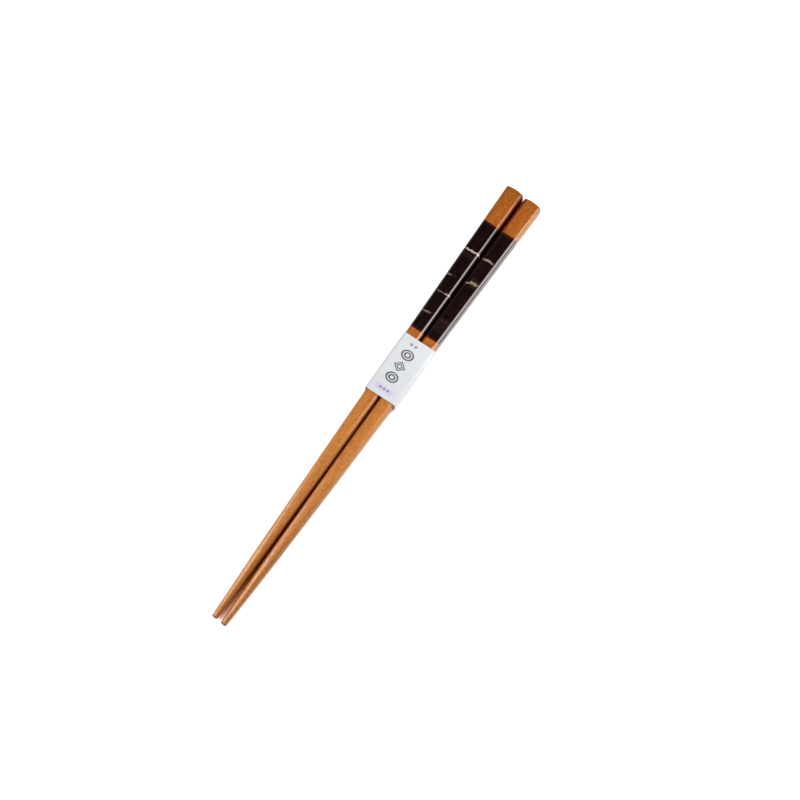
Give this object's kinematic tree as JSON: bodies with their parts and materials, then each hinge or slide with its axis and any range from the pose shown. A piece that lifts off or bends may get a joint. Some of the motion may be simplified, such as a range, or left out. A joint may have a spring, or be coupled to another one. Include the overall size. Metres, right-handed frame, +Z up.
{
  "type": "pair of chopsticks",
  "caption": "Tapered wooden chopsticks, square at the head and round at the tip, lying side by side, dark lacquered near their heads and held together by a glued paper band.",
  "frame": {"origin": "on the table under the middle of the pair's bounding box", "axes": "+X along the pair towards the thick heads, +Y across the pair, +Z up"},
  "size_m": [0.2304, 0.0176, 0.0085],
  "materials": {
    "wood": "satin oiled wood, with a gloss dark brown lacquer over a length near the head",
    "paper": "smooth uncoated white paper"
  },
  "bodies": {
    "root": {"left_chopstick": "wood", "right_chopstick": "wood", "paper_band": "paper"}
  },
  "joints": []
}
